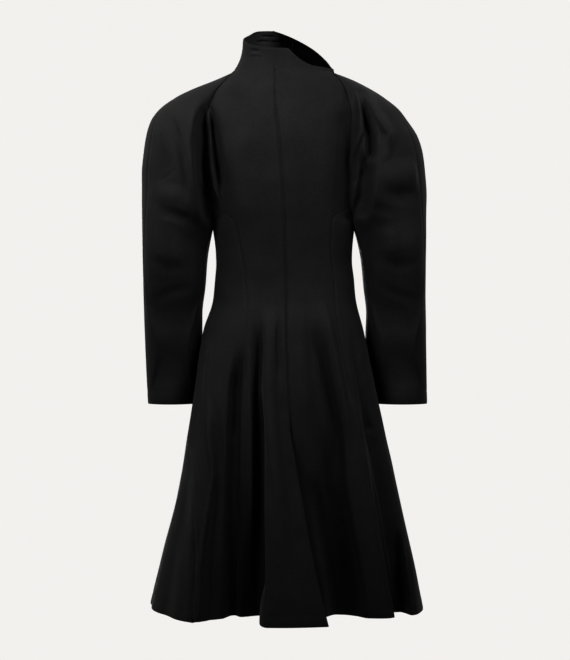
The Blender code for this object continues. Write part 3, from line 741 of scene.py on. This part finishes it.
for half in ("left", "right"):
    overarmEdge, bodyEdge = ("right", "left") if half == "left" else ("left", "right")
    sleeveFrontLook = {
        "node": "sleeve_%s_front" % half, "behind": False, "grid": (84, 182),
        "flat": (0.28, 0.71), "area": 0.132,
        "uneven": 0.0009, "axis": (-0.205 if half == "left" else 0.205, 0.01, 0),
        "seams": [(overarmEdge, 0.0013, 0.003, 1), (bodyEdge, 0.0010, 0.003, -0.29),
                  ("bottom", 0.0006, 0.003, 1)],
        "turnedEdges": [("bottom", 0.024, 0.0004)],
        "calmEdges": (),
        "creases": sleeveFrontCreases[half],
    }
    clothPiece("sleeve_front_" + half, sleeveFrontLook, sleeveHalf(half, 1, sleeveRows))
print("sleeves set in")

collarLeftLook = {
    "node": "collar_left", "behind": False, "grid": (150, 72),
    "flat": (0.262, 0.10), "area": 0.017,
    "uneven": 0.0006, "axis": (0, 0, 0),
    "seams": [("right", 0.0008, 0.002, 1)],
    "turnedEdges": [("top", 0.0, 0.0008)],
    "calmEdges": (),
    "creases": [
        {"path": [(250, 51), (254, 50), (260, 51)], "width": 2.2, "out": -2.2},
        {"path": [(248, 54.5), (255, 54), (262, 55)], "width": 2.6, "out": 1.5},
        {"path": [(259, 36.8), (267, 36), (276, 37)], "width": 1.8, "out": -4.5, "straight": True},
        {"path": [(254, 42), (263, 41), (271, 42)], "width": 1.8, "out": -4.5, "straight": True},
        {"path": [(269, 41.5), (276, 42.2), (285, 41)], "width": 1.8, "out": -4.5, "straight": True},
    ],
}
neckAngle = float(centreBackAngle("left", np.array(heights["neck"])))
clothPiece("collar_half_left", collarLeftLook, collarHalf("left", -frontLap["edgeAngle"], neckAngle))
collarRightLook = {
    "node": "collar_right", "behind": False, "grid": (150, 30),
    "flat": (0.32, 0.092), "area": 0.0105,
    "uneven": 0.0006, "axis": (0, 0, 0),
    "seams": [("left", 0.0008, 0.002, 1)],
    "turnedEdges": [("top", 0.0, 0.0008)],
    "calmEdges": (),
    "creases": [],
}
clothPiece("collar_half_right", collarRightLook, collarHalf("right", neckAngle, frontLap["edgeAngle"]))
print("collar set on")


def linearColour(hexValue):
    channels = [int(hexValue[i:i + 2], 16) / 255 for i in (1, 3, 5)]
    return [c / 12.92 if c <= 0.04045 else ((c + 0.055) / 1.055) ** 2.4 for c in channels] + [1]


def addNode(tree, kind, settings=None, inputs=None):
    node = tree.nodes.new(kind)
    for name, value in (settings or {}).items():
        setattr(node, name, value)
    for name, value in (inputs or {}).items():
        if isinstance(value, bpy.types.NodeSocket):
            tree.links.new(value, node.inputs[name])
        else:
            node.inputs[name].default_value = value
    return node


# milled wool coating: a dense napped black cloth, matt face on, with a grey bloom where it turns away
woolLook = {
    "deep": "#151515", "raised": "#202020",
    "napSize": 0.004, "fibreSize": 0.0016,  # both drawn coarser than real nap, which is too fine to show
    "blotchSize": 0.05, "fibreShare": 0.45, "blotchShare": 0.3, "fibreStretch": 0.35,
    "napRelief": 0.35, "napHeight": 0.0006, "specular": 0.1,
    "roughness": 0.88, "sheen": 0.12, "sheenRoughness": 0.35, "sheenTint": "#9d9d9b",
}
wool = bpy.data.materials.new("milled wool coating")
wool.use_nodes = True
tree = wool.node_tree
shader = tree.nodes["Principled BSDF"]
place = addNode(tree, "ShaderNodeTexCoord")
nap = addNode(tree, "ShaderNodeTexNoise", {}, {
    "Vector": place.outputs["Object"], "Scale": 1 / woolLook["napSize"], "Detail": 4.0, "Roughness": 0.65})
grain = addNode(tree, "ShaderNodeMapping", {}, {
    "Vector": place.outputs["UV"], "Scale": (1.0, woolLook["fibreStretch"], 1.0)})
fibres = addNode(tree, "ShaderNodeTexNoise", {}, {
    "Vector": grain.outputs["Vector"], "Scale": 1 / woolLook["fibreSize"], "Detail": 3.0, "Roughness": 0.6})
blotch = addNode(tree, "ShaderNodeTexNoise", {}, {
    "Vector": place.outputs["Object"], "Scale": 1 / woolLook["blotchSize"], "Detail": 2.0})
mixedNap = addNode(tree, "ShaderNodeMix", {"data_type": "FLOAT"}, {
    "Factor": woolLook["fibreShare"], "A": nap.outputs["Fac"], "B": fibres.outputs["Fac"]})
tone = addNode(tree, "ShaderNodeMix", {"data_type": "FLOAT"}, {
    "Factor": woolLook["blotchShare"], "A": mixedNap.outputs["Result"], "B": blotch.outputs["Fac"]})
spread = addNode(tree, "ShaderNodeMapRange", {}, {
    "Value": tone.outputs["Result"], "From Min": 0.35, "From Max": 0.65})
colour = addNode(tree, "ShaderNodeMix", {"data_type": "RGBA"}, {"Factor": spread.outputs["Result"]})
colour.inputs["A"].default_value = linearColour(woolLook["deep"])
colour.inputs["B"].default_value = linearColour(woolLook["raised"])
bump = addNode(tree, "ShaderNodeBump", {}, {
    "Strength": woolLook["napRelief"], "Distance": woolLook["napHeight"], "Height": mixedNap.outputs["Result"]})
tree.links.new(colour.outputs["Result"], shader.inputs["Base Color"])
tree.links.new(bump.outputs["Normal"], shader.inputs["Normal"])
shader.inputs["Roughness"].default_value = woolLook["roughness"]
shader.inputs["Specular IOR Level"].default_value = woolLook["specular"]
shader.inputs["Sheen Weight"].default_value = woolLook["sheen"]
shader.inputs["Sheen Roughness"].default_value = woolLook["sheenRoughness"]
shader.inputs["Sheen Tint"].default_value = linearColour(woolLook["sheenTint"])

# lining: smooth dull black inside the coat
lining = bpy.data.materials.new("twill lining")
lining.use_nodes = True
twill = lining.node_tree.nodes["Principled BSDF"]
twill.inputs["Base Color"].default_value = linearColour("#020202")
twill.inputs["Roughness"].default_value = 0.7
twill.inputs["Specular IOR Level"].default_value = 0.02

# inside of the collar: its own wool on the left, going over into painted shade on the right, a near-black
# colour standing in for the shadow deep inside the collar
facing = bpy.data.materials.new("wool collar facing and painted shade")
facing.use_nodes = True
tree = facing.node_tree
facingAndShadeShader = tree.nodes["Principled BSDF"]
place = addNode(tree, "ShaderNodeTexCoord")
spot = addNode(tree, "ShaderNodeSeparateXYZ", {}, {"Vector": place.outputs["Object"]})
# how far the painted shade has taken over, from left to right across the collar
toRight = addNode(tree, "ShaderNodeMapRange", {}, {
    "Value": spot.outputs["X"], "From Min": -0.035, "From Max": -0.005})
colour = addNode(tree, "ShaderNodeMix", {"data_type": "RGBA"}, {"Factor": toRight.outputs["Result"]})
colour.inputs["A"].default_value = linearColour("#232323")
# near-black painted shade, where the inside right of the collar lies in shadow
colour.inputs["B"].default_value = linearColour("#010101")
tree.links.new(colour.outputs["Result"], facingAndShadeShader.inputs["Base Color"])
facingAndShadeShader.inputs["Roughness"].default_value = 0.85
facingAndShadeShader.inputs["Specular IOR Level"].default_value = 0.02
for name, piece in pieces.items():
    piece.data.materials.append(wool)
    piece.data.materials.append(facing if name.startswith("collar") else lining)
print("wool and lining ready")

studio = {"backdrop": "#e1dfdd", "ambient": 0.003, "floorZ": -1.45, "floorRadius": 2.0, "floorGlow": 0.28}
bm = bmesh.new()
bmesh.ops.create_circle(bm, cap_ends=True, segments=96, radius=studio["floorRadius"])
bmesh.ops.translate(bm, verts=bm.verts[:], vec=(0, 0, studio["floorZ"]))
floorMesh = bpy.data.meshes.new("studio_floor")
bm.to_mesh(floorMesh)
bm.free()
floor = bpy.data.objects.new("studio_floor", floorMesh)
bpy.context.scene.collection.objects.link(floor)
# matt painted board, pale and even
paint = bpy.data.materials.new("matt floor paint")
paint.use_nodes = True
floorShader = paint.node_tree.nodes["Principled BSDF"]
floorShader.inputs["Base Color"].default_value = linearColour("#e9e8e6")
floorShader.inputs["Roughness"].default_value = 0.9
floorShader.inputs["Emission Color"].default_value = linearColour("#e9e8e6")
floorShader.inputs["Emission Strength"].default_value = studio["floorGlow"]  # pale away from the lamps too
floorMesh.materials.append(paint)
floor.visible_diffuse = False  # throws no light up into the folds

# the backdrop is seen pale but lights the cloth only faintly
world = bpy.data.worlds.new("studio")
bpy.context.scene.world = world
world.use_nodes = True
tree = world.node_tree
tree.nodes.clear()
rays = addNode(tree, "ShaderNodeLightPath")
pale = linearColour(studio["backdrop"])
seenSky = addNode(tree, "ShaderNodeBackground", {}, {"Color": pale, "Strength": 1.0})
lightSky = addNode(tree, "ShaderNodeBackground", {}, {"Color": pale, "Strength": studio["ambient"]})
sky = addNode(tree, "ShaderNodeMixShader", {}, {"Fac": rays.outputs["Is Camera Ray"]})
tree.links.new(lightSky.outputs["Background"], sky.inputs[1])
tree.links.new(seenSky.outputs["Background"], sky.inputs[2])
addNode(tree, "ShaderNodeOutputWorld", {}, {"Surface": sky.outputs["Shader"]})

# softboxes: name, place, what it faces, size, degrees of spread and power
softboxes = [
    ("near left", (-0.9, -1.3, 0.5), (0, 0, -0.15), 0.6, 60, 2.8),
    ("near right", (0.9, -1.3, 0.5), (0, 0, -0.15), 0.6, 60, 1.2),
    ("side left", (-1.67, 0.0, 1.54), (0, 0, -0.45), 0.8, 180, 22),
    ("high left", (-1.92, -0.52, 1.22), (0, 0, -0.45), 0.8, 180, 8),
    ("high right", (0.96, -1.14, 1.68), (0, 0, -0.45), 0.8, 180, 24),
    ("side right", (1.4, -0.51, 1.68), (0, 0, -0.45), 0.8, 180, 9.5),
    ("behind left", (-1.9, 2.1, 0.9), (0, 0, -0.45), 1.4, 180, 17),
    ("behind right", (1.9, 2.1, 0.9), (0, 0, -0.45), 1.4, 180, 16),
    ("front left", (-0.6, 3.0, 0.1), (0, 0, -0.45), 0.8, 60, 6),
    ("front right", (0.5, 3.0, 0.2), (0, 0, -0.45), 0.8, 60, 2),
]
for name, spot, target, size, spread, power in softboxes:
    light = bpy.data.lights.new(name, "AREA")
    light.size = size
    light.spread = math.radians(spread)
    light.energy = power
    lamp = bpy.data.objects.new(name, light)
    lamp.location = spot
    aim = np.array(target) - np.array(spot)
    lamp.rotation_euler = (math.atan2(math.hypot(aim[0], aim[1]), -aim[2]), 0, math.atan2(-aim[0], aim[1]))
    lamp.visible_camera = False
    bpy.context.scene.collection.objects.link(lamp)

camera = bpy.data.cameras.new("photo camera")
camera.sensor_fit = "VERTICAL"
camera.sensor_height = photoView["sensorHeight"]
camera.lens = photoView["sensorHeight"] * pixelsPerTangent / photoView["height"]
cameraObject = bpy.data.objects.new("photo camera", camera)
cameraObject.location = (photoView["eyeX"], -photoView["distance"], photoView["eyeZ"])
cameraObject.rotation_euler = (math.radians(90), 0, 0)
bpy.context.scene.collection.objects.link(cameraObject)
bpy.context.scene.camera = cameraObject
bpy.context.scene.view_settings.view_transform = "Standard"
bpy.context.scene.view_settings.look = "Medium High Contrast"  # deep blacks, as in the photograph
print("studio ready")
